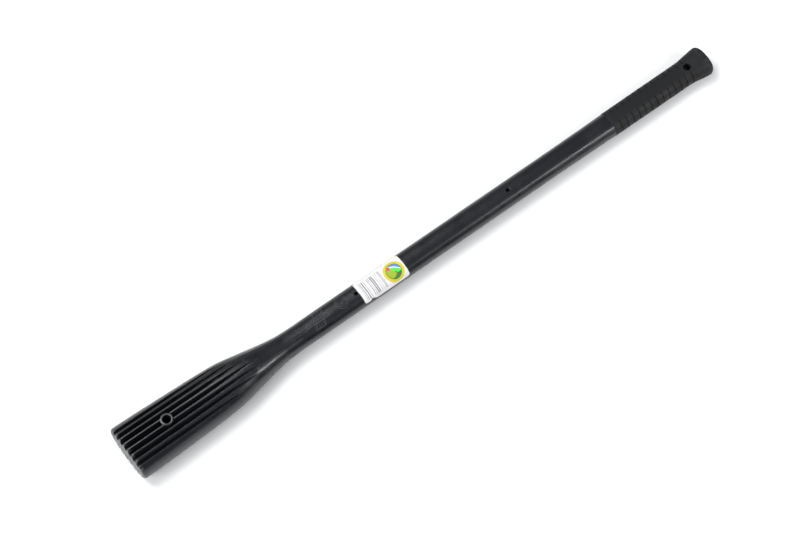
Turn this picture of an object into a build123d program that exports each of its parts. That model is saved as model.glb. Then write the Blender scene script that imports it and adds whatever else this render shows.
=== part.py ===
from build123d import *

import math
import os

# A moulded handle for a maul or pick head that slides on over the butt.
# Frame: X runs from the eye end face (x = 0) to the butt, Z out of the broad
# upper face, Y across.  The origin is the centre of the eye end face.
# Everything is in millimetres.

# ---------------------------------------------------------------- whole handle
TOTAL_LENGTH = 900.0
OVAL_POWER = 2.3            # 2 is an ellipse, larger is squarer
OUTLINE_POINTS = 16
RIM_STEPS = 5               # bands that round an end's rim

EYE_END_ROUND = 4.0
GRIP_START = 740.2
TANG_STEP = 0.02            # length over which the shaft steps down to the tang

# (distance from the eye end, width, thickness) of the jacket's outside
JACKET_STATIONS = [
    (EYE_END_ROUND, 74.0, 50.0),
    (30.0, 72.7, 49.6),
    (62.0, 70.5, 49.0),
    (100.0, 67.6, 48.0),
    (128.0, 65.0, 47.2),
    (146.0, 62.3, 46.8),
    (161.0, 57.4, 46.0),
    (180.0, 49.3, 43.6),
    (199.0, 42.0, 37.8),
    (217.0, 35.9, 32.2),
    (233.0, 32.5, 28.8),
    (252.0, 31.5, 26.8),
    (295.0, 32.2, 25.6),
    (510.0, 31.6, 25.0),
    (640.0, 31.6, 24.9),
    (690.0, 32.0, 25.0),
    (725.0, 32.6, 25.4),
    (GRIP_START - TANG_STEP, 33.0, 25.6),
]

# ------------------------------------------------- coring grooves of the eye end
GROOVE_OFFSETS = [-24.8, -16.8, -8.5, 0.0, 8.5, 16.8, 24.8]
GROOVE_RUN_OUTS = [160.0, 182.0, 192.0, 195.0, 179.0, 167.0, 151.5]
GROOVE_DEPTHS = [8.0, 10.2, 11.2, 11.5, 11.2, 10.2, 8.0]
GROOVE_FLOOR_WIDTH = 1.4
GROOVE_WALL_SLOPE = 0.21    # side travel of each wall per mm of height
GROOVE_DEPTH_POWER = 2.6    # how late the floor rises towards the run-out
GROOVE_CONVERGENCE = 0.055  # share of the offset lost at the run-out
GROOVE_STEPS = [0.0, 0.3, 0.55, 0.75, 0.88, 1.0]
CUTTER_TOP = 27.0

# ----------------------------------------------------------------- round holes
HEAD_BORE_X = 60.3
HEAD_BORE_RADIUS = 5.4
HEAD_BOSS_RADIUS = 8.2
PIN_HOLE_XS = [341.3, 577.3]
PIN_HOLE_RADIUS = 2.75
PIN_HOLE_SKIN = 0.4         # plastic left between a pin hole and the core
HANG_HOLE_X = 868.5
HANG_HOLE_RADIUS = 4.8
THROUGH_REACH = 30.0        # further out than any surface along Z

# ------------------------------------------------------------ reinforcing core
CORE_START = 70.0
CORE_END = 858.0
CORE_WIDTH = 20.0
CORE_THICKNESS = 10.0

# ------------------------------------------------------------------------ grip
BUTT_ROUND = 6.0
GRIP_STATIONS = [
    (GRIP_START, 33.6, 26.2),
    (800.0, 34.0, 26.2),
    (852.0, 34.1, 26.3),
    (862.0, 34.2, 26.5),
    (870.0, 35.0, 27.4),
    (878.0, 37.4, 29.6),
    (886.0, 39.7, 31.9),
    (TOTAL_LENGTH - BUTT_ROUND, 41.5, 33.4),
]
GRIP_WALL = 3.0
TANG_END_WALL = 4.0
TANG_TIP_STEP = 0.8         # how much slimmer the tang ends than its last flare station
GRIP_GROOVE_COUNT = 13
GRIP_GROOVE_FIRST_X = 750.5
GRIP_GROOVE_PITCH = 9.74
GRIP_GROOVE_WIDTH = 1.5
GRIP_GROOVE_DEPTH = 1.1
GRIP_GROOVE_REACH = 12.0    # side to side length of one groove cutter
GRIP_SMOOTH_BAND = 13.6     # width of the plain band along the top and bottom

# ----------------------------------------------------------------------- label
LABEL_START = 344.5
LABEL_END = 412.2
LABEL_SKIN = 0.3
LABEL_NEAR_Y = -15.9        # it wraps further down the near side than the far side
LABEL_FAR_Y = 13.9
LABEL_LOW_Z = 2.6
LABEL_CORNER = 4.0
LABEL_MARGIN = 5.0          # extra length of the skin the label is cut from


def oval_wire(x, width, thickness):
    """A closed, slightly squared oval across the handle at x."""
    points = []
    for step in range(OUTLINE_POINTS):
        angle = 2.0 * math.pi * step / OUTLINE_POINTS
        across = math.copysign(abs(math.cos(angle)) ** (2.0 / OVAL_POWER), math.cos(angle))
        up = math.copysign(abs(math.sin(angle)) ** (2.0 / OVAL_POWER), math.sin(angle))
        points.append(Vector(x, across * width / 2.0, up * thickness / 2.0))
    return Wire([Edge.make_spline(points, periodic=True)])


def oval_loft(stations, grow=0.0):
    """A solid through the stations in straight bands, grown outwards by grow all round."""
    wires = [oval_wire(x, width + 2.0 * grow, thickness + 2.0 * grow) for x, width, thickness in stations]
    return Solid.make_loft(wires, ruled=True)


def rim_stations(tip_x, inward, width, thickness, radius):
    """Stations of the rounded rim of a flat end, from its tip inwards."""
    stations = []
    for step in range(RIM_STEPS):
        angle = math.pi / 2.0 * step / RIM_STEPS
        inset = radius * (1.0 - math.sin(angle))
        x = tip_x + inward * radius * (1.0 - math.cos(angle))
        stations.append((x, width - 2.0 * inset, thickness - 2.0 * inset))
    return stations


def oval_prism(start, end, width, thickness):
    """A straight oval bar from start to end."""
    return oval_loft([(start, width, thickness), (end, width, thickness)])


def size_at(stations, x):
    """Width and thickness at x, in straight lines between the stations."""
    for (x0, width0, thickness0), (x1, width1, thickness1) in zip(stations, stations[1:]):
        if x <= x1:
            share = max(0.0, (x - x0) / (x1 - x0))
            return width0 + share * (width1 - width0), thickness0 + share * (thickness1 - thickness0)
    return stations[-1][1], stations[-1][2]


def surface_height(x, y):
    """Height of the jacket's upper surface above the mid plane at x, y."""
    width, thickness = size_at(JACKET_STATIONS, x)
    share = min(1.0, abs(y) / (width / 2.0)) ** OVAL_POWER
    return thickness / 2.0 * (1.0 - share) ** (1.0 / OVAL_POWER)


def groove_section(x, y, floor):
    """The V-like section of one coring groove, from its floor to above the jacket."""
    low = GROOVE_FLOOR_WIDTH / 2.0
    high = low + (CUTTER_TOP - floor) * GROOVE_WALL_SLOPE
    corners = [
        Vector(x, y - low, floor),
        Vector(x, y + low, floor),
        Vector(x, y + high, CUTTER_TOP),
        Vector(x, y - high, CUTTER_TOP),
    ]
    return Wire.make_polygon(corners, close=True)


def groove_cutter(offset, run_out, depth):
    """One groove from the open end face to where its floor meets the surface."""
    sections = []
    for share in GROOVE_STEPS:
        x = share * run_out
        y = offset * (1.0 - GROOVE_CONVERGENCE * share)
        floor = surface_height(x, y) - depth * (1.0 - share**GROOVE_DEPTH_POWER)
        sections.append(groove_section(x, y, floor))
    lead_in = groove_section(-1.0, offset, surface_height(0.0, offset) - depth)
    return Solid.make_loft([lead_in] + sections, ruled=True)


def vertical_bar(x, radius, low, high):
    """A round bar along Z, centred on the handle's mid line."""
    return Pos(x, 0.0, (low + high) / 2.0) * Cylinder(radius, high - low)


def coring_grooves():
    """All grooves of both broad faces, with the bore's boss left standing."""
    boss = vertical_bar(HEAD_BORE_X, HEAD_BOSS_RADIUS, 0.0, CUTTER_TOP + 1.0)
    cutters = []
    for offset, run_out, depth in zip(GROOVE_OFFSETS, GROOVE_RUN_OUTS, GROOVE_DEPTHS):
        cutter = groove_cutter(offset, run_out, depth) - boss
        for piece in cutter.solids():
            cutters.append(piece)
            cutters.append(piece.mirror(Plane.XY))
    return cutters


def pin_holes():
    """Blind holes where mould pins held the core, from both broad faces."""
    holes = []
    for x in PIN_HOLE_XS:
        reach = size_at(JACKET_STATIONS, x)[1] / 2.0 + 1.0
        floor = CORE_THICKNESS / 2.0 + PIN_HOLE_SKIN
        holes.append(vertical_bar(x, PIN_HOLE_RADIUS, floor, reach))
        holes.append(vertical_bar(x, PIN_HOLE_RADIUS, -reach, -floor))
    return holes


def tang_stations():
    """The jacket inside the grip, one wall thickness smaller all round."""
    flare = [(x, width, thickness) for x, width, thickness in GRIP_STATIONS[:-1]]
    _, tip_width, tip_thickness = GRIP_STATIONS[-1]
    tip = (TOTAL_LENGTH - TANG_END_WALL, tip_width - TANG_TIP_STEP, tip_thickness - TANG_TIP_STEP)
    shrink = 2.0 * GRIP_WALL
    return [(x, width - shrink, thickness - shrink) for x, width, thickness in flare + [tip]]


def hang_hole():
    return vertical_bar(HANG_HOLE_X, HANG_HOLE_RADIUS, -THROUGH_REACH, THROUGH_REACH)


def reinforcing_core():
    """The straight oval bar moulded into the handle."""
    return oval_prism(CORE_START, CORE_END, CORE_WIDTH, CORE_THICKNESS)


def handle_body():
    """The jacket: ribbed eye end, shoulder, oval shaft and the tang in the grip."""
    _, eye_width, eye_thickness = JACKET_STATIONS[0]
    rim = rim_stations(0.0, 1.0, eye_width, eye_thickness, EYE_END_ROUND)
    body = oval_loft(rim + JACKET_STATIONS + tang_stations()).cut(*coring_grooves())
    head_bore = vertical_bar(HEAD_BORE_X, HEAD_BORE_RADIUS, -THROUGH_REACH, THROUGH_REACH)
    return body.cut(head_bore, hang_hole(), *pin_holes()).cut(reinforcing_core())


def grip_grooves():
    """Finger grooves across both sides, leaving a plain band along top and bottom."""
    inner = oval_prism(
        GRIP_START,
        TOTAL_LENGTH,
        GRIP_STATIONS[0][1] - 2.0 * GRIP_GROOVE_DEPTH,
        GRIP_STATIONS[0][2] - 2.0 * GRIP_GROOVE_DEPTH,
    )
    slabs = []
    for index in range(GRIP_GROOVE_COUNT):
        x = GRIP_GROOVE_FIRST_X + index * GRIP_GROOVE_PITCH
        for side in (-1.0, 1.0):
            y = side * (GRIP_SMOOTH_BAND + GRIP_GROOVE_REACH) / 2.0
            slab = Pos(x, y, 0.0) * Box(GRIP_GROOVE_WIDTH, GRIP_GROOVE_REACH, 2.0 * THROUGH_REACH)
            slabs.extend((slab - inner).solids())
    return slabs


def grip_sleeve():
    """The second-shot sleeve with its flared, closed butt."""
    _, butt_width, butt_thickness = GRIP_STATIONS[-1]
    rim = rim_stations(TOTAL_LENGTH, -1.0, butt_width, butt_thickness, BUTT_ROUND)
    tang = tang_stations()
    _, tang_width, tang_thickness = tang[0]
    pocket = oval_loft([(GRIP_START - 1.0, tang_width, tang_thickness)] + tang)
    sleeve = oval_loft(GRIP_STATIONS + rim[::-1]).cut(pocket)
    return sleeve.cut(hang_hole(), *grip_grooves())


def wrap_label():
    """The thin label that wraps over the top of the shaft, a little to the near side."""
    span = [LABEL_START - LABEL_MARGIN, LABEL_END + LABEL_MARGIN]
    stations = [(x, *size_at(JACKET_STATIONS, x)) for x in span]
    skin = oval_loft(stations, LABEL_SKIN).cut(oval_loft(stations))
    middle_x = (LABEL_START + LABEL_END) / 2.0
    middle_y = (LABEL_NEAR_Y + LABEL_FAR_Y) / 2.0
    outline = RectangleRounded(LABEL_END - LABEL_START, LABEL_FAR_Y - LABEL_NEAR_Y, LABEL_CORNER)
    window = Pos(middle_x, middle_y, LABEL_LOW_Z) * extrude(outline, THROUGH_REACH)
    return skin & window


def main():
    os.makedirs("parts", exist_ok=True)
    nodes = {
        "handle_body": handle_body(),
        "reinforcing_core": reinforcing_core(),
        "grip_sleeve": grip_sleeve(),
        "wrap_label": wrap_label(),
    }
    for name, shape in nodes.items():
        shape.label = name
        export_step(shape, f"parts/{name}.step")


main()
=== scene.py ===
import math

import bmesh
import bpy
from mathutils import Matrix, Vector, noise


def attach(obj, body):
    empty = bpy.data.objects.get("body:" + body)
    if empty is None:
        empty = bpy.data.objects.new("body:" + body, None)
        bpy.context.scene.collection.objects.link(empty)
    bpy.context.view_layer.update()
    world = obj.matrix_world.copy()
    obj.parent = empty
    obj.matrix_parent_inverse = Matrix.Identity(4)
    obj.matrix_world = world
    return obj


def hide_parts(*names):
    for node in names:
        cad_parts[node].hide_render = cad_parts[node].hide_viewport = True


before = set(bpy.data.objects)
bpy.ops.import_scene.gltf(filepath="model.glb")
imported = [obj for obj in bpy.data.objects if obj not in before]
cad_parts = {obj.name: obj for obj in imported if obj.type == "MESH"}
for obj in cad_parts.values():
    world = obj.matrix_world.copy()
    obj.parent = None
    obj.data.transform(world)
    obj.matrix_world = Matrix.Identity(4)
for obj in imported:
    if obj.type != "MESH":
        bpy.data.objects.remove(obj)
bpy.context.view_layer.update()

# Shapes are worked out in millimetres in the row frame and scaled once, in
# object_from_bmesh: X from the eye end to the butt, Z out of the labelled face.
MM = 0.001

# ------------------------------------------------------------ driving dimensions
TOTAL_LENGTH = 900.0
GRIP_START = 740.2
OVAL_POWER = 2.3            # 2 is an ellipse, larger is squarer

# (distance from the eye end, width, thickness) of the jacket
JACKET_STATIONS = [
    (0.0, 74.0, 50.0),
    (30.0, 72.7, 49.6),
    (62.0, 70.5, 49.0),
    (100.0, 67.6, 48.0),
    (128.0, 65.0, 47.2),
    (146.0, 62.3, 46.8),
    (161.0, 57.4, 46.0),
    (180.0, 49.3, 43.6),
    (199.0, 42.0, 37.8),
    (217.0, 35.9, 32.2),
    (233.0, 32.5, 28.8),
    (252.0, 31.5, 26.8),
    (295.0, 32.2, 25.6),
    (510.0, 31.6, 25.0),
    (640.0, 31.6, 24.9),
    (690.0, 32.0, 25.0),
    (725.0, 32.6, 25.4),
    (GRIP_START, 33.0, 25.6),
]
EYE_END_ROUND = 4.0
WAVES_START = 128.0         # nearer the eye end than this the moulding is taken as even
# (how far, step) of the jacket's mesh rings, from the rounded rim onwards
JACKET_RING_STEPS = [
    (42.0, 3.2),
    (76.0, 1.5),
    (212.0, 1.7),
    (GRIP_START - 8.0, 5.0),
]

# Coring grooves, from the near side (-Y) to the far side (+Y)
GROOVE_OFFSETS = [-24.8, -16.8, -8.5, 0.0, 8.5, 16.8, 24.8]
GROOVE_RUN_OUTS = [160.0, 182.0, 192.0, 195.0, 179.0, 167.0, 151.5]
GROOVE_DEPTHS = [8.0, 10.2, 11.2, 11.5, 11.2, 10.2, 8.0]
GROOVE_FLOOR_HALF = 0.7
GROOVE_WALL_SLOPE = 0.21
GROOVE_DEPTH_POWER = 2.6
GROOVE_CONVERGENCE = 0.055
CREST_RADIUS = 0.75         # rounds the crest edges of the ribs
# where the mesh has columns across a groove: shares of its half opening inside
# the crest edge, and shares of the crest radius outside it
GROOVE_INSIDE = [0.0, 0.25, 0.5, 0.72, 0.9]
GROOVE_OUTSIDE = [0.0, 0.04, 0.15, 0.33, 0.6, 1.0]

HEAD_BORE_X = 60.3
HEAD_BORE_RADIUS = 5.4
HEAD_BOSS_RADIUS = 8.2
HEAD_BOSS_STAND = 0.12      # how far the ring stands above the jacket
HEAD_BOSS_RIM = 0.5
PIN_HOLE_XS = [341.3, 577.3]
PIN_HOLE_RADIUS = 2.75
PIN_HOLE_FLOOR = 5.4
HANG_HOLE_X = 868.5
HANG_HOLE_RADIUS = 4.8
BEYOND_SURFACE = 40.0       # further out than any surface along Z

# (distance from the eye end, width, thickness) of the grip
GRIP_STATIONS = [
    (GRIP_START, 33.6, 26.2),
    (800.0, 34.0, 26.2),
    (852.0, 34.1, 26.3),
    (862.0, 34.2, 26.5),
    (870.0, 35.0, 27.4),
    (878.0, 37.4, 29.6),
    (886.0, 39.7, 31.9),
    (894.0, 41.3, 33.2),
    (TOTAL_LENGTH, 41.5, 33.4),
]
BUTT_ROUND = 6.0
BUTT_CROWN = 0.8
SEAM_ROUND = 0.9
TANG_INSET = 6.2
TANG_TIP = TOTAL_LENGTH - 4.5
TANG_GAP = 0.1
TANG_ROWS = [GRIP_START, 800.0, 850.0, 862.0, 870.0, 878.0, 886.0, TANG_TIP]
GRIP_GROOVE_COUNT = 13
GRIP_GROOVE_FIRST_X = 750.5
GRIP_GROOVE_PITCH = 9.74
GRIP_GROOVE_HALF = 0.75
GRIP_GROOVE_DEPTH = 1.1
GRIP_SMOOTH_HALF = 6.8

LABEL_START = 344.5
LABEL_END = 412.2
LABEL_FAR_ARC = 15.6        # how far it wraps down each side, along the surface
LABEL_NEAR_ARC = 20.4
LABEL_LIFT = 0.06
LABEL_THICKNESS = 0.16
LABEL_CORNER = 4.0
LABEL_CURL = 0.22           # how far the torn corner lifts
LABEL_COLUMNS = 44
# how much is torn off the near edge, by the distance from the label's start
TORN_PLACES = [0.0, 4.2, 7.4, 10.6, 18.1, 22.7]
TORN_DEPTHS = [2.1, 1.7, 1.9, 4.0, 0.3, 0.0]

# Raised marks on the neck
RELIEF_HEIGHT = 0.3
RELIEF_ROOT = 0.25          # how far the marks reach into the jacket
# (centre x, centre y, half length, half width, number of strokes) of each leaning frame
FRAMES = [
    (285.0, 0.3, 18.5, 3.5, 12),
    (287.0, 7.6, 7.0, 3.0, 4),
    (282.5, -7.2, 7.0, 3.2, 4),
]
FRAME_LEAN = 0.35           # sideways travel per mm of half width
FRAME_LINE = 0.8
STROKE_LINE = 0.7
STROKE_SHARE = 0.62         # how much of the frame's height a stroke fills
DASH_PITCH = 1.35
DASH_LINE = 0.55
# (y, first x, number of dashes) of each row
DASH_ROWS = [
    (8.2, 231.5, 9),
    (4.9, 232.5, 8),
    (4.9, 248.5, 6),
    (0.2, 238.0, 14),
    (-4.6, 231.5, 3),
    (-4.6, 239.5, 12),
    (-4.6, 260.0, 4),
    (-8.6, 238.5, 13),
]
DIAL_X = 319.8
DIAL_Y = 1.2
DIAL_RADIUS = 8.2
DIAL_TICKS = 24
DIAL_LINE = 0.65
DIAL_TICK_LINE = 0.5
GATE_START = 230.5
GATE_PITCH = 1.3
GATE_LUMPS = 10
GATE_HEIGHT = -0.02         # share of the thickness above the mid plane
GATE_CORNERS = [(-0.6, -0.5), (0.6, -0.5), (0.6, 0.5), (-0.6, 0.5)]

# The label's print, in millimetres along the handle and round the shaft
BARS_ARC = (-8.5, 15.6)
# (place along the label, width) of each printed bar
BARS = [
    (5.0, 0.5),
    (6.9, 0.75),
    (9.6, 1.3),
    (12.4, 0.5),
    (17.1, 0.65),
    (19.3, 0.45),
    (21.9, 1.25),
    (24.3, 1.25),
    (27.8, 0.45),
    (30.5, 0.4),
    (33.6, 0.7),
    (35.4, 0.65),
]
BADGE_CENTRE = (51.9, 3.6)
RING_YELLOW = (0.6, 0.5, 0.03)
TICK_OCHRE = (0.42, 0.33, 0.03)
SKY_BLUE = (0.09, 0.2, 0.66)
CLOUD_WHITE = (0.72, 0.74, 0.74)
HILL_GREEN = (0.07, 0.72, 0.06)
FIELD_LIME = (0.32, 0.43, 0.02)
WOOD_GREEN = (0.03, 0.15, 0.018)
PATH_BROWN = (0.13, 0.075, 0.03)
SUN_RED = (0.78, 0.04, 0.05)
PICTURE_RADIUS = 9.4
RING_START_RADIUS = 10.3
TICK_RADIUS = 12.1
BADGE_RADIUS = 13.85
RING_TICKS = 22.0

# Camera and floor, in metres
HANDLE_MIDDLE = (0.45, 0.0, 0.0)
CAMERA_AZIMUTH = -36.97
CAMERA_ELEVATION = 65.5
CAMERA_DISTANCE = 3.0
CAMERA_SHIFT_LEFT = 0.03303
CAMERA_SHIFT_DOWN = 0.02292
CAMERA_SENSOR = 36.0        # millimetres, like the lens
CAMERA_LENS = 108.68
EYE_BOTTOM = -0.02505       # where the floor touches the eye end and the butt
BUTT_BOTTOM = -0.01675
FLOOR_SPAN = 0.88           # from one contact to the other

# Brightness of the surround by the height of the direction, and its colour
SKY_RAMP = {"From Min": 0.62, "From Max": 0.98, "To Min": 0.04, "To Max": 0.36}
SKY_COLOUR = (0.84, 0.91, 1.0, 1.0)
# (name, place, target, (width, height), power): the key from the far side, a fill
# past the eye end, a strip for the gleam along the shaft and a card for its far side
LIGHTS = [
    ("key", (-0.35, 1.45, 3.0), HANDLE_MIDDLE, (2.0, 2.0), 105.0),
    ("fill", (-2.6, -0.3, 2.3), HANDLE_MIDDLE, (2.0, 2.0), 90.0),
    ("gleam", (2.0, -1.74, 1.59), (0.7, 0.0, 0.0), (0.5, 1.3), 48.0),
    ("far_card", (0.6, 3.2, 1.05), (0.5, 0.0, 0.0), (5.0, 2.1), 14.0),
]

SEED = Vector((3.7, 11.1, 5.3))


# ------------------------------------------------------------------ shape maths
def monotone_curve(knots, values):
    """A smooth function through the knots that never overshoots them."""
    count = len(knots)
    steps = [knots[i + 1] - knots[i] for i in range(count - 1)]
    slopes = [(values[i + 1] - values[i]) / steps[i] for i in range(count - 1)]
    tangents = [slopes[0]]
    for i in range(1, count - 1):
        before, after = slopes[i - 1], slopes[i]
        if before * after <= 0.0:
            tangents.append(0.0)
        else:
            weight_1 = 2.0 * steps[i] + steps[i - 1]
            weight_2 = steps[i] + 2.0 * steps[i - 1]
            tangents.append((weight_1 + weight_2) / (weight_1 / before + weight_2 / after))
    tangents.append(slopes[-1])

    def curve(x):
        x = min(max(x, knots[0]), knots[-1])
        i = 0
        while i < count - 2 and x > knots[i + 1]:
            i += 1
        t = (x - knots[i]) / steps[i]
        rise = values[i + 1] - values[i]
        a = tangents[i] * steps[i] - rise
        b = rise - tangents[i + 1] * steps[i]
        return values[i] + t * rise + t * (1.0 - t) * (a * (1.0 - t) + b * t)

    return curve


def station_curves(stations):
    knots = [station[0] for station in stations]
    return [monotone_curve(knots, [station[k] for station in stations]) for k in (1, 2)]


jacket_width, jacket_thickness = station_curves(JACKET_STATIONS)
grip_width, grip_thickness = station_curves(GRIP_STATIONS)


def smooth_step(low, high, value):
    t = min(max((value - low) / (high - low), 0.0), 1.0)
    return t * t * (3.0 - 2.0 * t)


def signed_power(value, power):
    return math.copysign(abs(value) ** power, value)


def oval_point(width, thickness, angle):
    """A point of the squared oval; angle 0 is the far side (+Y), 90 degrees the top."""
    y = width / 2.0 * signed_power(math.cos(angle), 2.0 / OVAL_POWER)
    z = thickness / 2.0 * signed_power(math.sin(angle), 2.0 / OVAL_POWER)
    return y, z


def oval_height(width, thickness, y):
    share = min(1.0, abs(y) / (width / 2.0)) ** OVAL_POWER
    return thickness / 2.0 * (1.0 - share) ** (1.0 / OVAL_POWER)


def oval_angle(width, y):
    """The angle of oval_point that has this y, on the upper half."""
    share = min(1.0, max(-1.0, y / (width / 2.0)))
    return math.acos(signed_power(share, OVAL_POWER / 2.0))


def moulding_wave(x, lane):
    """A slight unevenness along the moulding, in millimetres."""
    near = noise.noise(Vector((x * 0.021, lane * 5.0, 0.0)) + SEED)
    far = noise.noise(Vector((x * 0.06, lane * 5.0, 9.0)) + SEED)
    return 0.1 * near + 0.035 * far


def end_inset(distance, radius):
    """How far a rounded rim pulls in at a distance from the tip."""
    if distance >= radius:
        return 0.0
    return radius - math.sqrt(max(0.0, radius**2 - (radius - distance) ** 2))


# ------------------------------------------------------------------ mesh helpers
def ring_faces(bm, rings, closed=True):
    """Quads between neighbouring rings of vertices."""
    for low, high in zip(rings, rings[1:]):
        count = len(low)
        for i in range(count if closed else count - 1):
            j = (i + 1) % count
            bm.faces.new((low[i], low[j], high[j], high[i]))


def tube_of_rings(bm, points_by_ring):
    rings = [[bm.verts.new(point) for point in ring] for ring in points_by_ring]
    ring_faces(bm, rings)
    return rings


def capped_lathe(profile, segments, centre, stretch=None):
    """A closed bmesh turned round Z from (radius, height) pairs, both ends on the axis."""
    bm = bmesh.new()
    rings = []
    for radius, height in profile:
        ring = []
        for k in range(segments):
            angle = 2.0 * math.pi * k / segments
            x = centre[0] + radius * math.cos(angle)
            y = centre[1] + radius * math.sin(angle)
            lift = stretch(x, y) if stretch else 0.0
            ring.append(Vector((x, y, centre[2] + height + lift)))
        rings.append(ring)
    made = tube_of_rings(bm, rings)
    bm.faces.new(list(reversed(made[0])))
    bm.faces.new(made[-1])
    bmesh.ops.recalc_face_normals(bm, faces=bm.faces)
    return bm


def object_from_bmesh(name, bm):
    """Scales a millimetre bmesh to metres and makes an object of it."""
    bmesh.ops.scale(bm, vec=(MM, MM, MM), verts=bm.verts)
    mesh = bpy.data.meshes.new(name)
    bm.to_mesh(mesh)
    bm.free()
    made = bpy.data.objects.new(name, mesh)
    bpy.context.scene.collection.objects.link(made)
    return made


def combine(target, cutter, operation):
    """Joins or cuts target with cutter and deletes the cutter."""
    modifier = target.modifiers.new(operation.lower(), "BOOLEAN")
    modifier.operation = operation
    modifier.solver = "MANIFOLD"
    modifier.object = cutter
    bpy.context.view_layer.update()
    graph = bpy.context.evaluated_depsgraph_get()
    result = bpy.data.meshes.new_from_object(target.evaluated_get(graph))
    target.modifiers.clear()
    old = target.data
    target.data = result
    bpy.data.meshes.remove(old)
    mesh = cutter.data
    bpy.data.objects.remove(cutter)
    bpy.data.meshes.remove(mesh)


def hole_cutter(name, x, radius, low, high, surface, flare):
    """A round cutter along Z with a flared mouth at each surface height it crosses."""
    mouth = [
        (radius, surface - flare),
        (radius + 0.3 * flare, surface - 0.4 * flare),
        (radius + flare, surface),
    ]
    outer_radius = radius + 3.0 * flare
    profile = [(radius, low)]
    if low < -surface:
        profile = [(outer_radius, -surface - 3.0 * flare)]
        profile += [(reach, -height) for reach, height in reversed(mouth)]
    profile += mouth + [(outer_radius, high)]
    return object_from_bmesh(name, capped_lathe(profile, 64, (x, 0.0, 0.0)))


def through_cutter(name, x, radius, surface, flare):
    return hole_cutter(name, x, radius, -BEYOND_SURFACE, BEYOND_SURFACE, surface, flare)


def finish_piece(piece, node, material, sharp):
    """Smooth shading with sharp edges, one material, and the piece's place in the frame."""
    piece.data.shade_smooth()
    piece.data.set_sharp_from_angle(angle=math.radians(sharp))
    piece.data.materials.clear()
    piece.data.materials.append(material)
    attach(piece, "root")
    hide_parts(node)


# ------------------------------------------------------------------- jacket mesh
def groove_state(index, x):
    """Centre, depth and half opening of a coring groove at x."""
    share = x / GROOVE_RUN_OUTS[index]
    centre = GROOVE_OFFSETS[index] * (1.0 - GROOVE_CONVERGENCE * min(share, 1.15))
    depth = GROOVE_DEPTHS[index] * (1.0 - min(share, 1.0) ** GROOVE_DEPTH_POWER)
    taper = smooth_step(1.0, 0.86, share)
    floor_half = GROOVE_FLOOR_HALF * (0.25 + 0.75 * taper)
    return centre, depth, floor_half + depth * GROOVE_WALL_SLOPE


def crest_radius(depth):
    return min(CREST_RADIUS, 0.5 * depth)


def groove_cut(x, y):
    """How deep the coring grooves go below the surface at x, y."""
    deepest = 0.0
    for index in range(len(GROOVE_OFFSETS)):
        centre, depth, half = groove_state(index, x)
        radius = crest_radius(depth)
        outside = abs(y - centre) - half
        if depth <= 0.0 or outside >= radius:
            continue
        if outside >= 0.0:
            cut = radius - math.sqrt(radius**2 - (radius - outside) ** 2)
        else:
            cut = min(radius - outside / GROOVE_WALL_SLOPE, depth)
        deepest = max(deepest, cut)
    return deepest


def jacket_size(x):
    inset = end_inset(x, EYE_END_ROUND)
    width = jacket_width(x) + 2.0 * moulding_wave(x, 1.0)
    thickness = jacket_thickness(x) + 2.0 * moulding_wave(x, 2.0)
    if x < WAVES_START:
        width, thickness = jacket_width(x), jacket_thickness(x)
    return width, thickness, inset


def jacket_rows():
    """Distances from the eye end where the jacket's mesh has a ring."""
    rows = [EYE_END_ROUND * (1.0 - math.cos(math.pi / 2.0 * k / 8)) for k in range(9)]
    for end, step in JACKET_RING_STEPS:
        while rows[-1] < end:
            rows.append(rows[-1] + step)
    return rows + [GRIP_START - 1.5, GRIP_START]


def upper_columns(x):
    """The y positions of the mesh columns over the upper half, near side to far side."""
    width = jacket_width(x) - 2.0 * end_inset(x, EYE_END_ROUND)
    columns = []
    for index in range(len(GROOVE_OFFSETS)):
        centre, depth, half = groove_state(index, x)
        half = max(half, 0.9)
        radius = max(crest_radius(depth), 0.3)
        reaches = [share * half for share in GROOVE_INSIDE]
        reaches += [half + share * radius for share in GROOVE_OUTSIDE]
        columns += [centre - reach for reach in reversed(reaches)] + [centre + reach for reach in reaches[1:]]
    limit = width / 2.0 * 0.965
    reach = max(abs(columns[0]), abs(columns[-1]))
    if reach > limit:
        columns = [y * limit / reach for y in columns]
    start_angle = oval_angle(width, columns[0])
    end_angle = oval_angle(width, columns[-1])
    side_count = 12
    near = [math.pi - (math.pi - start_angle) * k / side_count for k in range(side_count)]
    far = [end_angle * (side_count - 1 - k) / side_count for k in range(side_count)]
    near_side = [oval_point(width, 2.0, angle)[0] for angle in near]
    far_side = [oval_point(width, 2.0, angle)[0] for angle in far]
    return near_side + columns + far_side


def jacket_ring(x):
    """Points round the jacket at x: over the top from near to far, and back below."""
    width, thickness, inset = jacket_size(x)
    outer_width = width - 2.0 * inset
    outer_thickness = thickness - 2.0 * inset
    upper = []
    for y in upper_columns(x):
        y *= outer_width / (jacket_width(x) - 2.0 * inset)
        height = oval_height(outer_width, outer_thickness, y)
        full = oval_height(width, thickness, y)
        cut = max(0.0, groove_cut(x, y) - (full - height))
        upper.append((y, max(height - cut, 0.0)))
    points = [Vector((x, y, z)) for y, z in upper]
    points += [Vector((x, y, -z)) for y, z in reversed(upper[1:-1])]
    return points


def tang_rings(count):
    """Rings of the tang hidden in the grip, with as many points as the jacket's."""
    rings = []
    for x in TANG_ROWS:
        width = grip_width(x) - TANG_INSET
        thickness = grip_thickness(x) - TANG_INSET
        ring = []
        for k in range(count):
            angle = math.pi - 2.0 * math.pi * k / count
            y, z = oval_point(width, thickness, angle)
            ring.append(Vector((x, y, z)))
        rings.append(ring)
    return rings


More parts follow.
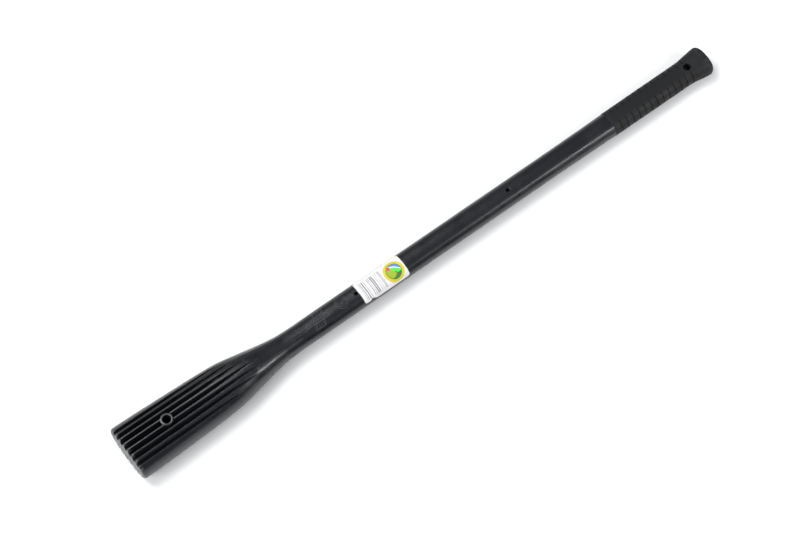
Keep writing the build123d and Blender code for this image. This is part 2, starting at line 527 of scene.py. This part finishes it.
def end_face(bm, ring):
    """Fills the flat eye end with upright strips between the top and bottom columns."""
    count = len(ring)
    half = count // 2
    strips = 4
    grid = []
    for column in range(half + 1):
        top = ring[column]
        bottom = ring[(count - column) % count]
        if top is bottom:
            grid.append([top] * (strips + 1))
            continue
        inner = [bm.verts.new(top.co.lerp(bottom.co, k / strips)) for k in range(1, strips)]
        grid.append([top] + inner + [bottom])
    for left, right in zip(grid, grid[1:]):
        for k in range(strips):
            corners = [left[k], right[k], right[k + 1], left[k + 1]]
            unique = list(dict.fromkeys(corners))
            if len(unique) > 2:
                bm.faces.new(unique)


def jacket_shell():
    bm = bmesh.new()
    rings = [jacket_ring(x) for x in jacket_rows()]
    rings += tang_rings(len(rings[0]))
    made = tube_of_rings(bm, rings)
    end_face(bm, made[0])
    bm.faces.new(made[-1])
    bmesh.ops.recalc_face_normals(bm, faces=bm.faces)
    return object_from_bmesh("handle_jacket", bm)


def head_boss():
    """The raised ring round the cross bore, through to the other face."""
    radius, rim = HEAD_BOSS_RADIUS, HEAD_BOSS_RIM
    top = jacket_thickness(HEAD_BORE_X) / 2.0 + HEAD_BOSS_STAND

    def follow(x, y):
        return oval_height(jacket_width(x), jacket_thickness(x), y) + HEAD_BOSS_STAND - top

    profile = [(radius + 0.7, 0.0), (radius + 0.3, top - 6.0), (radius, top - rim)]
    profile += [(radius - 0.3 * rim, top - 0.3 * rim), (radius - rim, top), (radius - 1.4, top + 0.02)]
    upper = capped_lathe(profile, 72, (HEAD_BORE_X, 0.0, 0.0), follow)
    return object_from_bmesh("head_boss", upper)


def raised_bar(bm, start, end, width):
    """A low bar with sloping sides that follows the upper surface from start to end."""
    (x0, y0), (x1, y1) = start, end
    length = math.hypot(x1 - x0, y1 - y0)
    along = ((x1 - x0) / length, (y1 - y0) / length)
    across = (-along[1], along[0])
    section = [(-0.75, -RELIEF_ROOT), (-0.35, RELIEF_HEIGHT), (0.35, RELIEF_HEIGHT), (0.75, -RELIEF_ROOT)]
    steps = max(1, math.ceil(length / 2.0))
    rings = []
    for k in range(steps + 1):
        reach = length * k / steps
        ring = []
        for side, lift in section:
            x = x0 + along[0] * reach + across[0] * side * width
            y = y0 + along[1] * reach + across[1] * side * width
            z = oval_height(jacket_width(x), jacket_thickness(x), y) + lift
            ring.append(Vector((x, y, z)))
        rings.append(ring)
    made = tube_of_rings(bm, rings)
    bm.faces.new(list(reversed(made[0])))
    bm.faces.new(made[-1])


def raised_outline(bm, corners, width):
    for start, end in zip(corners, corners[1:] + corners[:1]):
        raised_bar(bm, start, end, width)


def slanted_frame(bm, centre_x, centre_y, half_length, half_width, strokes):
    """A plain leaning frame with a row of leaning strokes in it."""
    lean = FRAME_LEAN * half_width
    inner_lean = STROKE_SHARE * lean
    inner = STROKE_SHARE * half_width
    corners = [
        (centre_x - half_length - lean, centre_y - half_width),
        (centre_x + half_length - lean, centre_y - half_width),
        (centre_x + half_length + lean, centre_y + half_width),
        (centre_x - half_length + lean, centre_y + half_width),
    ]
    raised_outline(bm, corners, FRAME_LINE)
    for k in range(strokes):
        x = centre_x + half_length * (2.0 * (k + 0.5) / strokes - 1.0)
        raised_bar(bm, (x - inner_lean, centre_y - inner), (x + inner_lean, centre_y + inner), STROKE_LINE)


def dash_rows(bm):
    """Short rows of dashes where a moulding carries its data."""
    for row, (y, first, count) in enumerate(DASH_ROWS):
        for k in range(count):
            x = first + DASH_PITCH * k
            tall = 0.55 + 0.35 * noise.noise(Vector((x * 1.7, row * 3.0, 0.0)) + SEED)
            raised_bar(bm, (x, y - tall), (x + 0.2, y + tall), DASH_LINE)


def date_dial(bm):
    """A round dial with ticks and a short pointer."""
    for k in range(DIAL_TICKS):
        angle = 2.0 * math.pi * k / DIAL_TICKS
        after = 2.0 * math.pi * (k + 1) / DIAL_TICKS
        ring = [
            (DIAL_X + DIAL_RADIUS * math.cos(turn), DIAL_Y + DIAL_RADIUS * math.sin(turn))
            for turn in (angle, after)
        ]
        raised_bar(bm, ring[0], ring[1], DIAL_LINE)
        reaches = (0.62 * DIAL_RADIUS, 0.82 * DIAL_RADIUS)
        tick = [(DIAL_X + r * math.cos(angle), DIAL_Y + r * math.sin(angle)) for r in reaches]
        raised_bar(bm, tick[0], tick[1], DIAL_TICK_LINE)
    raised_bar(bm, (DIAL_X - 1.5, DIAL_Y - 2.0), (DIAL_X + 2.0, DIAL_Y + 2.2), DIAL_TICK_LINE)


def neck_relief():
    """Generic raised marks on the top of the neck, as one object."""
    bm = bmesh.new()
    for frame_sizes in FRAMES:
        slanted_frame(bm, *frame_sizes)
    dash_rows(bm)
    date_dial(bm)
    bmesh.ops.recalc_face_normals(bm, faces=bm.faces)
    return object_from_bmesh("neck_relief", bm)


def gate_scar():
    """The trimmed moulding gate low on the near side of the neck."""
    bm = bmesh.new()
    for k in range(GATE_LUMPS):
        x = GATE_START + GATE_PITCH * k
        width, thickness = jacket_width(x), jacket_thickness(x)
        stand = 0.35 + 0.3 * noise.noise(Vector((x, 2.0, 7.0)) + SEED)
        side = -width / 2.0
        middle = GATE_HEIGHT * thickness
        points = []
        for dx, dz in GATE_CORNERS:
            points.append(bm.verts.new(Vector((x + dx * 1.5, side + 0.8, middle + dz * 1.8))))
        for dx, dz in GATE_CORNERS:
            points.append(bm.verts.new(Vector((x + dx, side - stand, middle + dz))))
        for low, high in ((0, 1), (1, 2), (2, 3), (3, 0)):
            bm.faces.new((points[low], points[high], points[high + 4], points[low + 4]))
        bm.faces.new(points[:4])
        bm.faces.new(points[4:])
    bmesh.ops.recalc_face_normals(bm, faces=bm.faces)
    return object_from_bmesh("gate_scar", bm)


def append_mesh(target, extra):
    """Adds another object's mesh to the target's as loose shells, and deletes that object."""
    bm = bmesh.new()
    bm.from_mesh(target.data)
    bm.from_mesh(extra.data)
    bm.to_mesh(target.data)
    bm.free()
    mesh = extra.data
    bpy.data.objects.remove(extra)
    bpy.data.meshes.remove(mesh)


def mirrored(piece):
    """A copy of a cutter or boss, turned over to the other broad face."""
    copy = piece.copy()
    copy.data = piece.data.copy()
    bpy.context.scene.collection.objects.link(copy)
    bm = bmesh.new()
    bm.from_mesh(copy.data)
    bmesh.ops.scale(bm, vec=(1.0, 1.0, -1.0), verts=bm.verts)
    bmesh.ops.reverse_faces(bm, faces=bm.faces)
    bm.to_mesh(copy.data)
    bm.free()
    return copy


def build_jacket(material, rubbed):
    jacket = jacket_shell()
    boss = head_boss()
    under_boss = mirrored(boss)
    combine(jacket, boss, "UNION")
    combine(jacket, under_boss, "UNION")
    head_top = jacket_thickness(HEAD_BORE_X) / 2.0 + 0.1
    bore = through_cutter("head_bore", HEAD_BORE_X, HEAD_BORE_RADIUS, head_top, 0.5)
    combine(jacket, bore, "DIFFERENCE")
    for x in PIN_HOLE_XS:
        top = jacket_thickness(x) / 2.0
        upper = hole_cutter("pin_hole", x, PIN_HOLE_RADIUS, PIN_HOLE_FLOOR, 20.0, top, 0.15)
        lower = mirrored(upper)
        combine(jacket, upper, "DIFFERENCE")
        combine(jacket, lower, "DIFFERENCE")
    hang_hole = through_cutter("tang_hole", HANG_HOLE_X, HANG_HOLE_RADIUS, 30.0, 0.7)
    combine(jacket, hang_hole, "DIFFERENCE")
    first_mark = len(jacket.data.polygons)
    append_mesh(jacket, neck_relief())
    append_mesh(jacket, gate_scar())
    finish_piece(jacket, "handle_body", material, 40.0)
    jacket.data.materials.append(rubbed)
    for face in jacket.data.polygons[first_mark:]:
        face.material_index = 1


# --------------------------------------------------------------------- grip mesh
def grip_groove_cut(x, y):
    """Depth of the finger grooves at x, for a point at this y."""
    side = smooth_step(GRIP_SMOOTH_HALF - 0.35, GRIP_SMOOTH_HALF + 0.75, abs(y))
    deepest = 0.0
    for index in range(GRIP_GROOVE_COUNT):
        offset = abs(x - (GRIP_GROOVE_FIRST_X + index * GRIP_GROOVE_PITCH))
        deepest = max(deepest, smooth_step(GRIP_GROOVE_HALF * 1.25, GRIP_GROOVE_HALF * 0.55, offset))
    return GRIP_GROOVE_DEPTH * deepest * side


def grip_rows():
    rows = [GRIP_START + SEAM_ROUND * (1.0 - math.cos(math.pi / 2.0 * k / 5)) for k in range(6)]
    rows.append(GRIP_START + 5.0)
    for index in range(GRIP_GROOVE_COUNT):
        middle = GRIP_GROOVE_FIRST_X + index * GRIP_GROOVE_PITCH
        rows += [middle + GRIP_GROOVE_HALF * share for share in (-1.6, -1.25, -0.95, -0.75, -0.5, -0.2)]
        rows += [middle + GRIP_GROOVE_HALF * share for share in (0.2, 0.5, 0.75, 0.95, 1.25, 1.6)]
        rows += [middle + GRIP_GROOVE_PITCH * share for share in (0.3, 0.5, 0.7)]
    last = TOTAL_LENGTH - BUTT_ROUND
    x = rows[-1]
    while x < last - 2.0:
        x += 1.6
        rows.append(x)
    rows += [last + BUTT_ROUND * math.sin(math.pi / 2.0 * k / 10) for k in range(11)]
    return rows


def grip_angles():
    """Angles of the mesh columns, crowded where the finger grooves end."""
    edge = oval_angle(GRIP_STATIONS[0][1], GRIP_SMOOTH_HALF)
    quarter = [edge * k / 16 for k in range(15)]
    quarter += [edge + 0.012 * k for k in range(-3, 4)]
    quarter += [edge + 0.05 + (math.pi / 2.0 - edge - 0.05) * k / 6 for k in range(6)]
    upper = quarter + [math.pi / 2.0] + [math.pi - angle for angle in reversed(quarter)]
    return upper + [-angle for angle in reversed(upper[1:-1])]


def grip_ring(x, angles):
    inset = end_inset(x - GRIP_START, SEAM_ROUND) + end_inset(TOTAL_LENGTH - x, BUTT_ROUND)
    width = grip_width(x) - 2.0 * inset
    thickness = grip_thickness(x) - 2.0 * inset
    ring = []
    for angle in angles:
        y, z = oval_point(width, thickness, angle)
        cut = grip_groove_cut(x, y)
        if cut > 0.0:
            y, z = oval_point(width - 2.0 * cut, thickness - 2.0 * cut, angle)
        ring.append(Vector((x, y, z)))
    return ring


def build_grip(material):
    bm = bmesh.new()
    angles = grip_angles()
    rings = [grip_ring(x, angles) for x in grip_rows()]
    tip = rings[-1]
    for share in (0.85, 0.6, 0.3):
        bulge = BUTT_CROWN * (1.0 - share**2)
        tip_x = tip[0].x - BUTT_CROWN + bulge
        rings.append([Vector((tip_x, point.y * share, point.z * share)) for point in tip])
    made = tube_of_rings(bm, rings)
    hub = bm.verts.new(Vector((TOTAL_LENGTH, 0.0, 0.0)))
    last = made[-1]
    for i in range(len(last)):
        bm.faces.new((last[i], last[(i + 1) % len(last)], hub))
    pocket = []
    inset = TANG_INSET - TANG_GAP
    for x in TANG_ROWS:
        width, thickness = grip_width(x) - inset, grip_thickness(x) - inset
        pocket.append([Vector((x, *oval_point(width, thickness, angle))) for angle in angles])
    inside = tube_of_rings(bm, pocket)
    bm.faces.new(inside[-1])
    ring_faces(bm, [made[0], inside[0]])
    bmesh.ops.recalc_face_normals(bm, faces=bm.faces)
    grip = object_from_bmesh("grip", bm)
    top = grip_thickness(HANG_HOLE_X) / 2.0
    hang_hole = through_cutter("hang_hole", HANG_HOLE_X, HANG_HOLE_RADIUS, top, 0.8)
    combine(grip, hang_hole, "DIFFERENCE")
    finish_piece(grip, "grip_sleeve", material, 40.0)


# -------------------------------------------------------------------- label mesh
def label_arc_table(x):
    """Pairs of arc length from the top and angle, over half the shaft at x."""
    width, thickness, _ = jacket_size(x)
    table = [(0.0, math.pi / 2.0)]
    y0, z0 = oval_point(width, thickness, math.pi / 2.0)
    for k in range(1, 61):
        angle = math.pi / 2.0 + math.pi / 2.0 * k / 60
        y1, z1 = oval_point(width, thickness, angle)
        table.append((table[-1][0] + math.hypot(y1 - y0, z1 - z0), angle))
        y0, z0 = y1, z1
    return table


def angle_at_arc(table, arc):
    """The oval angle at an arc length from the top; positive is the near side."""
    wanted = abs(arc)
    for (arc0, angle0), (arc1, angle1) in zip(table, table[1:]):
        if wanted <= arc1:
            share = (wanted - arc0) / (arc1 - arc0)
            angle = angle0 + share * (angle1 - angle0)
            return angle if arc >= 0.0 else math.pi - angle
    return math.pi


label_torn_edge = monotone_curve(TORN_PLACES, TORN_DEPTHS)


def label_reach(x):
    """Arc lengths of the label's far and near edges at x; the near one is torn."""
    corner = min(x - LABEL_START, LABEL_END - x)
    pull = end_inset(max(corner, 0.0), LABEL_CORNER)
    torn = label_torn_edge(x - LABEL_START)
    ripple = 0.12 * noise.noise(Vector((x * 0.9, 0.0, 4.0)) + SEED) * (1.0 if torn > 0.2 else 0.2)
    return -LABEL_FAR_ARC + pull, LABEL_NEAR_ARC - torn + ripple - pull * (0.3 if torn > 0.2 else 1.0)


def label_point(x, arc, table, lift):
    width, thickness, _ = jacket_size(x)
    angle = angle_at_arc(table, arc)
    y, z = oval_point(width + 2.0 * lift, thickness + 2.0 * lift, angle)
    return Vector((x, y, z))


def build_label(material):
    bm = bmesh.new()
    art = bm.loops.layers.uv.new("art")
    rows = [LABEL_START + LABEL_CORNER * (1.0 - math.cos(math.pi / 2.0 * k / 6)) for k in range(7)]
    rows += [LABEL_START + LABEL_CORNER + k for k in range(1, 62)]
    rows = [x for x in rows if x < LABEL_END - LABEL_CORNER]
    rows += [LABEL_END - LABEL_CORNER * (1.0 - math.sin(math.pi / 2.0 * k / 6)) for k in range(7)]
    outer, inner, place = [], [], {}
    for x in rows:
        table = label_arc_table(x)
        far, near = label_reach(x)
        lifted = LABEL_CURL * smooth_step(LABEL_START + 24.0, LABEL_START + 10.0, x)
        outer_row, inner_row = [], []
        for k in range(LABEL_COLUMNS + 1):
            arc = far + (near - far) * k / LABEL_COLUMNS
            curl = lifted * smooth_step(near - 3.5, near, arc)
            top = bm.verts.new(label_point(x, arc, table, LABEL_LIFT + LABEL_THICKNESS + curl))
            under = bm.verts.new(label_point(x, arc, table, LABEL_LIFT + curl))
            place[top] = place[under] = (x - LABEL_START, arc)
            outer_row.append(top)
            inner_row.append(under)
        outer.append(outer_row)
        inner.append(inner_row)
    ring_faces(bm, outer, closed=False)
    ring_faces(bm, inner, closed=False)
    for first, second in ((outer[0], inner[0]), (outer[-1], inner[-1])):
        ring_faces(bm, [first, second], closed=False)
    for edge in (0, -1):
        first = [row[edge] for row in outer]
        second = [row[edge] for row in inner]
        ring_faces(bm, [first, second], closed=False)
    for face in bm.faces:
        for loop in face.loops:
            along, arc = place[loop.vert]
            loop[art].uv = (along / 100.0, arc / 100.0 + 0.5)
    bmesh.ops.recalc_face_normals(bm, faces=bm.faces)
    label = object_from_bmesh("label", bm)
    finish_piece(label, "wrap_label", material, 50.0)


# --------------------------------------------------------------------- materials
class Graph:
    """A Principled material with short calls for wiring its nodes."""

    def __init__(self, name):
        self.material = bpy.data.materials.new(name)
        self.material.use_nodes = True
        self.tree = self.material.node_tree
        self.shader = self.tree.nodes["Principled BSDF"]
        self.object_point = self.tree.nodes.new("ShaderNodeTexCoord").outputs["Object"]

    def feed(self, socket, value):
        if isinstance(value, bpy.types.NodeSocket):
            self.tree.links.new(value, socket)
        else:
            socket.default_value = value

    def shade(self, name, value):
        self.feed(self.shader.inputs[name], value)

    def math(self, operation, first, second=0.0, clamp=False):
        node = self.tree.nodes.new("ShaderNodeMath")
        node.operation = operation
        node.use_clamp = clamp
        self.feed(node.inputs[0], first)
        self.feed(node.inputs[1], second)
        return node.outputs[0]

    def ramp(self, value, low, high, to_low=0.0, to_high=1.0):
        """Maps value smoothly from low..high to to_low..to_high."""
        node = self.tree.nodes.new("ShaderNodeMapRange")
        node.interpolation_type = "SMOOTHSTEP"
        self.feed(node.inputs["Value"], value)
        node.inputs["From Min"].default_value = low
        node.inputs["From Max"].default_value = high
        node.inputs["To Min"].default_value = to_low
        node.inputs["To Max"].default_value = to_high
        return node.outputs[0]

    def stretched(self, factors):
        node = self.tree.nodes.new("ShaderNodeMapping")
        self.feed(node.inputs["Vector"], self.object_point)
        node.inputs["Scale"].default_value = factors
        return node.outputs[0]

    def noise(self, scale, detail=2.0, vector=None):
        node = self.tree.nodes.new("ShaderNodeTexNoise")
        self.feed(node.inputs["Vector"], vector or self.object_point)
        node.inputs["Scale"].default_value = scale
        node.inputs["Detail"].default_value = detail
        return node.outputs[0]

    def cells(self, scale, feature="F1"):
        """Distance from the nearest of many scattered points."""
        node = self.tree.nodes.new("ShaderNodeTexVoronoi")
        node.feature = feature
        self.feed(node.inputs["Vector"], self.object_point)
        node.inputs["Scale"].default_value = scale
        return node.outputs["Distance"]

    def blend(self, factor, first, second):
        """Mixes two colours by a factor."""
        node = self.tree.nodes.new("ShaderNodeMix")
        node.data_type = "RGBA"
        self.feed(node.inputs[0], factor)
        for socket, value in ((node.inputs[6], first), (node.inputs[7], second)):
            self.feed(socket, value if isinstance(value, bpy.types.NodeSocket) else (*value, 1.0))
        return node.outputs[2]

    def bump(self, height, strength, distance, under=None):
        node = self.tree.nodes.new("ShaderNodeBump")
        node.inputs["Strength"].default_value = strength
        node.inputs["Distance"].default_value = distance
        self.feed(node.inputs["Height"], height)
        if under:
            self.feed(node.inputs["Normal"], under)
        return node.outputs[0]

    def axis(self, name):
        node = self.tree.nodes.new("ShaderNodeSeparateXYZ")
        self.feed(node.inputs[0], self.object_point)
        return node.outputs[name]


def jacket_plastic():
    """Semi-gloss black polypropylene with flow marks, dust specks, and a scuffed eye end painted lighter as a
    highlight.
    """
    graph = Graph("jacket_plastic")
    cloud = graph.ramp(graph.noise(16.0, 4.0), 0.35, 0.68)
    colour = graph.blend(cloud, (0.0055, 0.0061, 0.0078), (0.0082, 0.009, 0.0112))
    speck = graph.ramp(graph.cells(420.0), 0.1, 0.05)
    sparse = graph.ramp(graph.noise(150.0, 1.0), 0.6, 0.66)
    colour = graph.blend(graph.math("MULTIPLY", speck, sparse), colour, (0.16, 0.16, 0.15))
    streak = graph.noise(1.0, 3.0, graph.stretched((35.0, 900.0, 900.0)))
    patchy = graph.ramp(graph.noise(22.0), 0.45, 0.65)
    scratch = graph.math("MULTIPLY", graph.ramp(streak, 0.66, 0.74), patchy)
    colour = graph.blend(graph.math("MULTIPLY", scratch, 0.35), colour, (0.07, 0.07, 0.072))
    # Lighter, rougher grey within 6 mm of the eye end: painted highlight on its rim and rib ends, mottled
    # like scuffing.
    near_end = graph.ramp(graph.axis("X"), 0.006, 0.0)
    end_scuff_and_highlight = graph.math("MULTIPLY", near_end, graph.ramp(graph.noise(240.0, 3.0), 0.42, 0.62))
    colour = graph.blend(graph.math("MULTIPLY", end_scuff_and_highlight, 0.8), colour, (0.12, 0.12, 0.12))
    graph.shade("Base Color", colour)
    rough = graph.ramp(graph.noise(55.0, 4.0), 0.3, 0.7, 0.25, 0.33)
    rough = graph.math("ADD", rough, graph.math("MULTIPLY", scratch, 0.2))
    rough = graph.math("ADD", rough, graph.math("MULTIPLY", end_scuff_and_highlight, 0.25), clamp=True)
    graph.shade("Roughness", rough)
    graph.shade("IOR", 1.49)
    waves = graph.bump(graph.noise(38.0, 2.0), 0.35, 0.0004)
    peel = graph.bump(graph.noise(850.0, 3.0), 0.22, 0.00006, waves)
    graph.shade("Normal", graph.bump(scratch, 0.3, 0.00003, peel))
    return graph.material


def rubbed_plastic():
    """The jacket's plastic where its raised marks have been rubbed dull and grey."""
    graph = Graph("rubbed_plastic")
    wear = graph.ramp(graph.noise(160.0, 3.0), 0.35, 0.62)
    graph.shade("Base Color", graph.blend(wear, (0.016, 0.018, 0.022), (0.045, 0.048, 0.053)))
    graph.shade("Roughness", graph.ramp(graph.noise(90.0, 3.0), 0.3, 0.7, 0.4, 0.52))
    graph.shade("IOR", 1.49)
    graph.shade("Normal", graph.bump(graph.noise(900.0, 2.0), 0.3, 0.00005))
    return graph.material


def grip_rubber():
    """Matte black soft-touch sleeve with a spark-eroded stipple and a little dust."""
    graph = Graph("grip_rubber")
    cloud = graph.ramp(graph.noise(20.0, 4.0), 0.35, 0.68)
    colour = graph.blend(cloud, (0.0061, 0.0063, 0.007), (0.0083, 0.0086, 0.0093))
    grains = graph.ramp(graph.noise(520.0, 3.0), 0.6, 0.75)
    dust = graph.math("MULTIPLY", grains, graph.ramp(graph.noise(34.0), 0.5, 0.7))
    colour = graph.blend(graph.math("MULTIPLY", dust, 0.5), colour, (0.05, 0.05, 0.048))
    near_butt = graph.ramp(graph.axis("X"), 0.885, 0.899)
    rub = graph.math("MULTIPLY", near_butt, graph.ramp(graph.noise(180.0, 3.0), 0.45, 0.65))
    colour = graph.blend(graph.math("MULTIPLY", rub, 0.5), colour, (0.05, 0.05, 0.052))
    graph.shade("Base Color", colour)
    graph.shade("Roughness", graph.ramp(graph.noise(70.0, 3.0), 0.3, 0.7, 0.55, 0.68))
    graph.shade("Specular IOR Level", 0.27)
    stipple = graph.bump(graph.cells(1500.0, "SMOOTH_F1"), 0.3, 0.00012)
    graph.shade("Normal", graph.bump(graph.noise(60.0, 2.0), 0.2, 0.0003, stipple))
    return graph.material


def fibre_rod():
    """Pultruded glass fibre: fine straight strands in a greenish resin."""
    graph = Graph("fibre_rod")
    strands = graph.noise(1.0, 4.0, graph.stretched((18.0, 1500.0, 1500.0)))
    colour = graph.blend(graph.ramp(strands, 0.35, 0.65), (0.2, 0.19, 0.1), (0.46, 0.44, 0.3))
    graph.shade("Base Color", colour)
    graph.shade("Roughness", graph.ramp(strands, 0.3, 0.7, 0.35, 0.55))
    graph.shade("Normal", graph.bump(strands, 0.4, 0.0001))
    return graph.material


class LabelArt(Graph):
    """The label's print, drawn from its own flat coordinates in millimetres."""

    def __init__(self, name):
        super().__init__(name)
        flat = self.tree.nodes.new("ShaderNodeUVMap")
        flat.uv_map = "art"
        parts = self.tree.nodes.new("ShaderNodeSeparateXYZ")
        self.feed(parts.inputs[0], flat.outputs[0])
        self.along = self.math("MULTIPLY", parts.outputs[0], 100.0)
        self.arc = self.math("MULTIPLY", self.math("SUBTRACT", parts.outputs[1], 0.5), 100.0)

    def band(self, value, centre, half, soft=0.06):
        """1 within half of centre, fading over soft."""
        distance = self.math("ABSOLUTE", self.math("SUBTRACT", value, centre))
        return self.ramp(distance, half + soft, half - soft)

    def both(self, first, second):
        return self.math("MULTIPLY", first, second)

    def radius_from(self, centre):
        across = self.math("POWER", self.math("SUBTRACT", self.along, centre[0]), 2.0)
        down = self.math("POWER", self.math("SUBTRACT", self.arc, centre[1]), 2.0)
        return self.math("SQRT", self.math("ADD", across, down))


def bar_print(art):
    """Upright bars of mixed widths with a row of faint dashes beside them."""
    low, high = BARS_ARC
    total = 0.0
    for centre, width in BARS:
        total = art.math("ADD", total, art.band(art.along, centre, width / 2.0))
    bars = art.both(total, art.band(art.arc, (low + high) / 2.0, (high - low) / 2.0))
    dash = art.ramp(art.math("SINE", art.math("MULTIPLY", art.along, 5.2)), 0.0, 0.4)
    row = art.both(art.band(art.along, 19.4, 12.0), art.band(art.arc, -12.4, 0.35))
    return art.math("MAXIMUM", bars, art.math("MULTIPLY", art.both(dash, row), 0.6), clamp=True)


def badge_print(art, paper):
    """A round countryside picture in a yellow ring with plain ticks."""
    radius = art.radius_from(BADGE_CENTRE)
    right = art.math("SUBTRACT", art.along, BADGE_CENTRE[0])
    down = art.math("SUBTRACT", art.arc, BADGE_CENTRE[1])
    roll = art.math("MULTIPLY", art.math("SINE", art.math("MULTIPLY", right, 0.45)), 0.7)

    def under(line):
        """1 on the near side of a rolling line."""
        return art.ramp(art.math("ADD", art.math("SUBTRACT", down, line), roll), -0.12, 0.12)

    def leaning(slope, start):
        return art.math("ADD", art.math("MULTIPLY", right, slope), start)

    picture = art.blend(under(leaning(0.75, -7.0)), SKY_BLUE, CLOUD_WHITE)
    picture = art.blend(under(leaning(0.75, -5.4)), picture, HILL_GREEN)
    furrow = art.ramp(art.math("SINE", art.math("ADD", art.math("MULTIPLY", right, 3.4), down)), 0.35, 0.75)
    field = art.blend(art.math("MULTIPLY", furrow, 0.45), FIELD_LIME, WOOD_GREEN)
    picture = art.blend(under(leaning(1.35, -0.6)), picture, field)
    picture = art.blend(under(leaning(-0.25, 5.6)), picture, WOOD_GREEN)
    path = art.band(art.math("SUBTRACT", right, art.math("MULTIPLY", down, 0.35)), 1.3, 0.7, 0.15)
    picture = art.blend(art.both(path, art.band(down, 3.6, 2.6, 0.2)), picture, PATH_BROWN)
    sun = art.radius_from((BADGE_CENTRE[0] - 4.3, BADGE_CENTRE[1] - 6.0))
    picture = art.blend(art.ramp(sun, 2.5, 2.25), picture, SUN_RED)
    angle = art.math("MULTIPLY", art.math("ARCTAN2", down, right), RING_TICKS)
    tick = art.both(art.ramp(art.math("SINE", angle), 0.0, 0.5), art.band(radius, TICK_RADIUS, 0.75, 0.2))
    ring = art.blend(art.math("MULTIPLY", tick, 0.55), RING_YELLOW, TICK_OCHRE)

    def beyond(limit):
        return art.ramp(radius, limit - 0.1, limit + 0.1)

    picture = art.blend(beyond(PICTURE_RADIUS), picture, WOOD_GREEN)
    picture = art.blend(beyond(RING_START_RADIUS), picture, ring)
    return art.blend(beyond(BADGE_RADIUS), picture, paper)


def label_paper():
    """Coated white paper with grey soiling, printed bars and a picture."""
    art = LabelArt("label_paper")
    soiled = art.ramp(art.noise(90.0, 5.0), 0.48, 0.78)
    paper = art.blend(soiled, (0.71, 0.7, 0.705), (0.62, 0.61, 0.6))
    fibres = art.ramp(art.noise(1200.0, 4.0), 0.3, 0.7)
    paper = art.blend(art.math("MULTIPLY", fibres, 0.3), paper, (0.64, 0.63, 0.64))
    colour = badge_print(art, paper)
    worn = art.ramp(art.noise(700.0, 3.0), 0.28, 0.5, 0.55, 0.97)
    colour = art.blend(art.both(bar_print(art), worn), colour, (0.045, 0.043, 0.05))
    half_length = (LABEL_END - LABEL_START) / 2.0
    from_middle = art.math("ABSOLUTE", art.math("SUBTRACT", art.along, half_length))
    edge = art.ramp(from_middle, half_length - 0.9, half_length)
    colour = art.blend(art.math("MULTIPLY", edge, 0.35), colour, (0.4, 0.39, 0.37))
    art.shade("Base Color", colour)
    art.shade("Roughness", art.ramp(art.noise(300.0, 3.0), 0.3, 0.7, 0.34, 0.48))
    creases = art.bump(art.noise(1.0, 3.0, art.stretched((60.0, 240.0, 240.0))), 0.25, 0.0002)
    art.shade("Normal", art.bump(fibres, 0.12, 0.00003, creases))
    return art.material


def floor_white():
    """Matte studio board."""
    graph = Graph("floor_white")
    graph.shade("Base Color", (0.86, 0.86, 0.86, 1.0))
    graph.shade("Roughness", 0.9)
    return graph.material


# ------------------------------------------------------------------ camera, light
def make_camera():
    """A view from high up, over the near side, with the eye end nearest."""
    azimuth, elevation = math.radians(CAMERA_AZIMUTH), math.radians(CAMERA_ELEVATION)
    level = Vector((-math.sin(azimuth), math.cos(azimuth), 0.0))
    forward = level * math.cos(elevation) + Vector((0.0, 0.0, -math.sin(elevation)))
    right = Vector((math.cos(azimuth), math.sin(azimuth), 0.0))
    up = right.cross(forward)
    aim = Vector(HANDLE_MIDDLE) - right * CAMERA_SHIFT_LEFT - up * CAMERA_SHIFT_DOWN
    data = bpy.data.cameras.new("camera")
    data.sensor_width = CAMERA_SENSOR
    data.lens = CAMERA_LENS
    camera = bpy.data.objects.new("camera", data)
    camera.location = aim - forward * CAMERA_DISTANCE
    camera.rotation_mode = "QUATERNION"
    camera.rotation_quaternion = forward.to_track_quat("-Z", "Y")
    bpy.context.scene.collection.objects.link(camera)
    bpy.context.scene.camera = camera


def make_floor():
    """A plain white floor that the eye end and the butt both rest on."""
    bpy.ops.mesh.primitive_plane_add(size=14.0)
    floor = bpy.context.object
    floor.name = "floor"
    slope = (BUTT_BOTTOM - EYE_BOTTOM) / FLOOR_SPAN
    floor.rotation_euler = (0.0, -math.atan(slope), 0.0)
    floor.location = (HANDLE_MIDDLE[0], 0.0, EYE_BOTTOM + slope * FLOOR_SPAN / 2.0)
    floor.data.materials.append(floor_white())


def area_light(name, location, target, size, power):
    """A rectangular light that faces its target; size is (width, height)."""
    data = bpy.data.lights.new(name, "AREA")
    data.shape = "RECTANGLE"
    data.size, data.size_y = size
    data.energy = power
    light = bpy.data.objects.new(name, data)
    light.location = location
    light.rotation_mode = "QUATERNION"
    light.rotation_quaternion = (Vector(target) - Vector(location)).to_track_quat("-Z", "Y")
    bpy.context.scene.collection.objects.link(light)


def make_light():
    """A dim surround that brightens overhead, and the four soft area lights."""
    world = bpy.data.worlds.new("studio")
    bpy.context.scene.world = world
    world.use_nodes = True
    tree = world.node_tree
    direction = tree.nodes.new("ShaderNodeTexCoord").outputs["Generated"]
    parts = tree.nodes.new("ShaderNodeSeparateXYZ")
    tree.links.new(direction, parts.inputs[0])
    height = tree.nodes.new("ShaderNodeMapRange")
    height.interpolation_type = "SMOOTHSTEP"
    for name, value in SKY_RAMP.items():
        height.inputs[name].default_value = value
    tree.links.new(parts.outputs["Z"], height.inputs["Value"])
    background = tree.nodes["Background"]
    background.inputs["Color"].default_value = SKY_COLOUR
    tree.links.new(height.outputs[0], background.inputs["Strength"])
    for row in LIGHTS:
        area_light(*row)
    bpy.context.scene.view_settings.view_transform = "Standard"


make_camera()
make_light()
make_floor()
build_jacket(jacket_plastic(), rubbed_plastic())
build_grip(grip_rubber())
build_label(label_paper())
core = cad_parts["reinforcing_core"]
core.data.materials.clear()
core.data.materials.append(fibre_rod())
